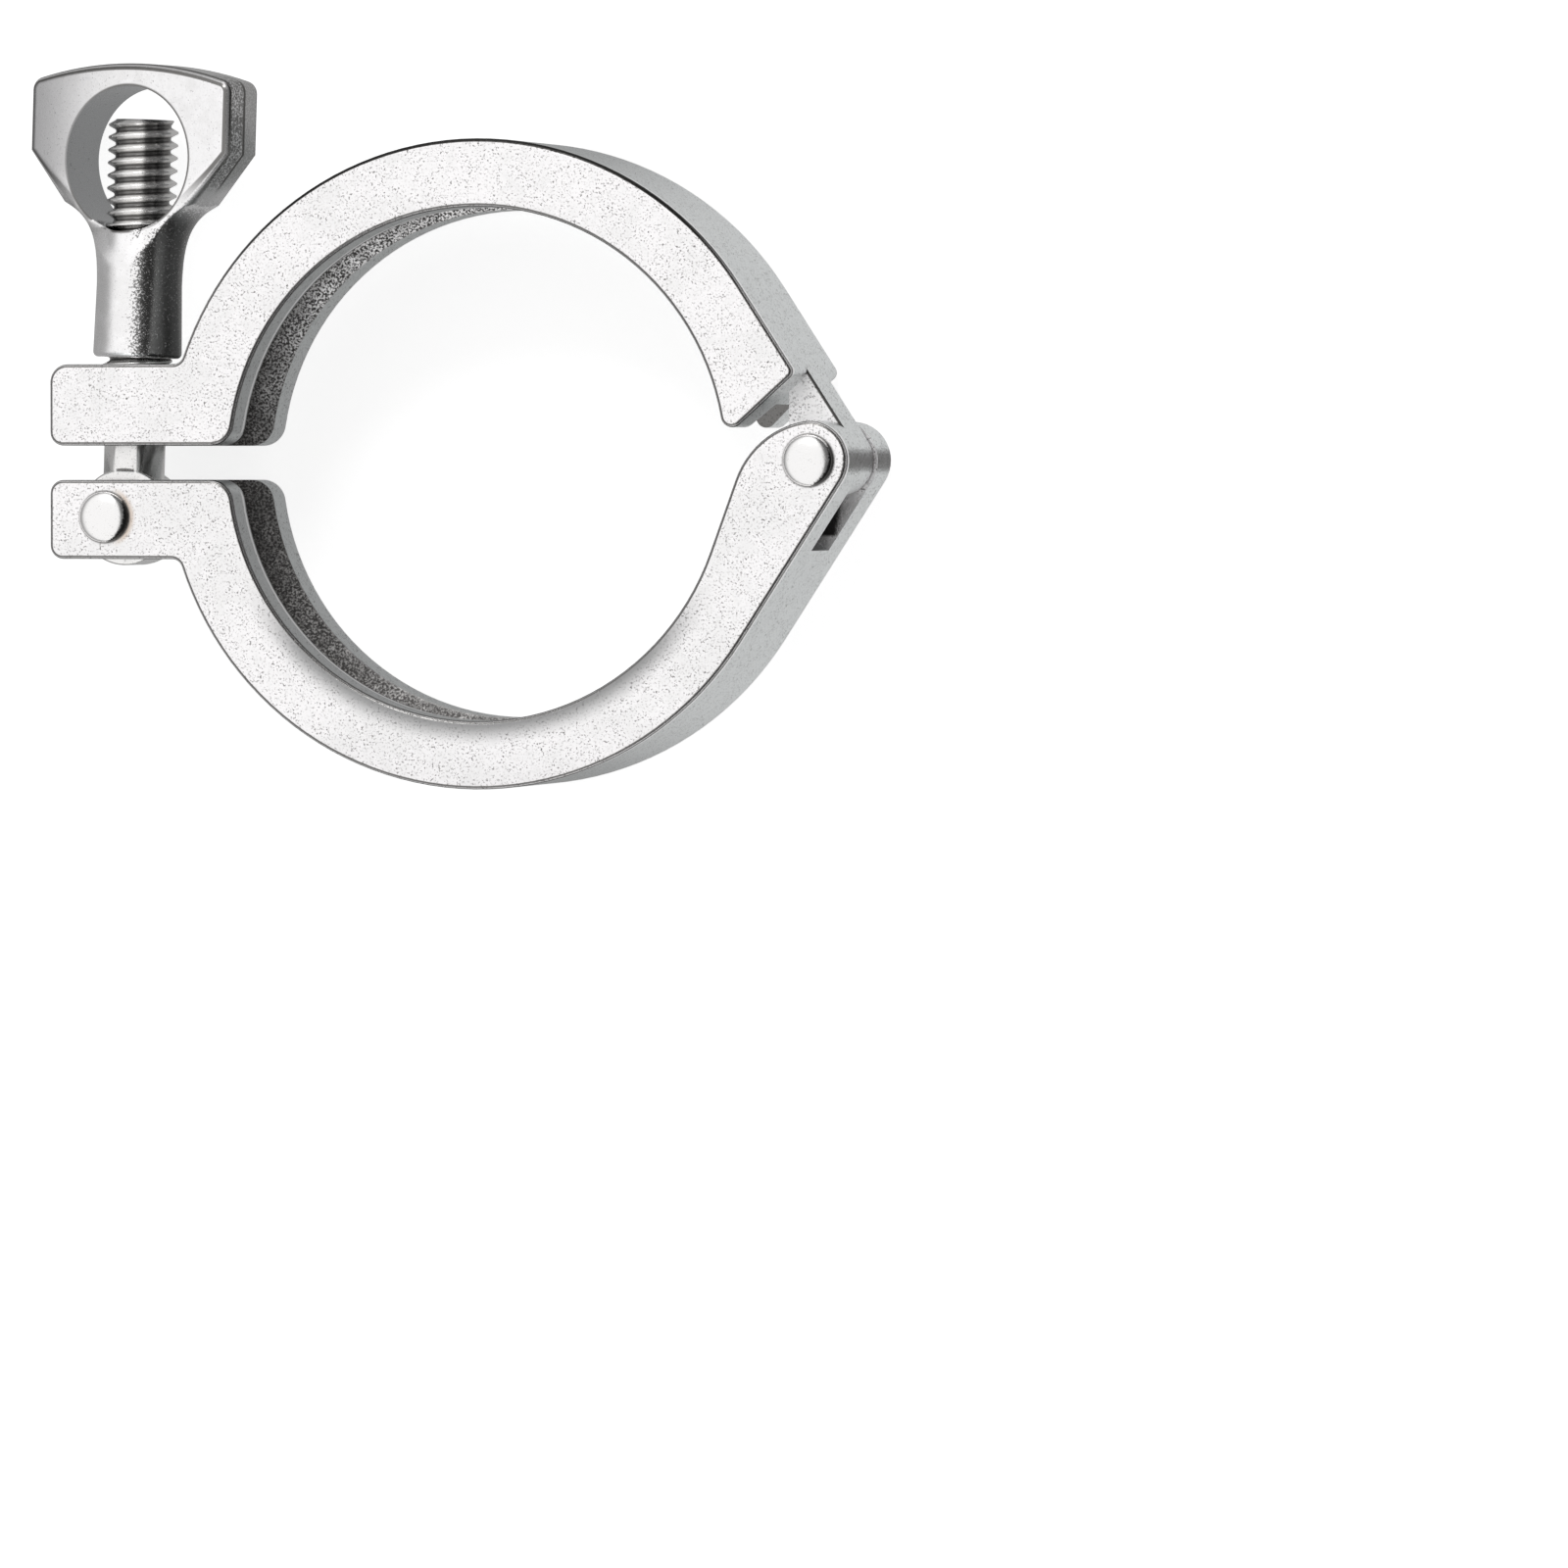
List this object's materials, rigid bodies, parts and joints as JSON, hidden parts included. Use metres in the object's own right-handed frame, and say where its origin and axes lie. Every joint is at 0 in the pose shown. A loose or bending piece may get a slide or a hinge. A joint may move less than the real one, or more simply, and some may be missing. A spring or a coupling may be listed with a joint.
{
  "type": "sanitary hinged clamp",
  "caption": "Cast stainless hinged ring clamp with a V-groove for sanitary ferrules, closed by a swing-out eye bolt and a wing nut with a round hole in its head.",
  "frame": {"origin": "centre of the clamping bore at mid-width", "axes": "+X towards the hinge, +Y towards the upper half and the wing nut, +Z along the bore; the clamp lies on its back flange faces"},
  "size_m": [0.0969, 0.0803, 0.0216],
  "materials": {
    "cast_steel": "investment cast stainless steel, tumbled satin",
    "pin_steel": "bright stainless steel",
    "bolt_steel": "machined stainless steel",
    "nut_steel": "investment cast stainless steel, tumbled satin"
  },
  "bodies": {
    "lower": {"lower_half": "cast_steel", "hinge_pin": "pin_steel", "bolt_pin": "pin_steel"},
    "upper": {"upper_half": "cast_steel"},
    "bolt": {"eye_bolt": "bolt_steel"},
    "nut": {"wing_nut": "nut_steel"}
  },
  "joints": [
    {"name": "upper_open", "type": "hinge", "parent": "lower", "child": "upper", "pos_m": [0.0377, 0.0004, 0], "axis": [0, 0, -1], "range_deg": [-1.8, 15]},
    {"name": "bolt_swing", "type": "hinge", "parent": "lower", "child": "bolt", "pos_m": [-0.0427, -0.00585, 0], "axis": [0, 0, 1], "range_deg": [0, 180]},
    {"name": "nut_travel", "type": "slide", "parent": "bolt", "child": "nut", "axis": [0.0314, 0.9995, 0], "range_m": [-0.0028, 0.0235]}
  ],
  "couplings": [
    {"joint": "nut_travel", "follows": "upper_open", "m_per_rad": 0.086}
  ]
}
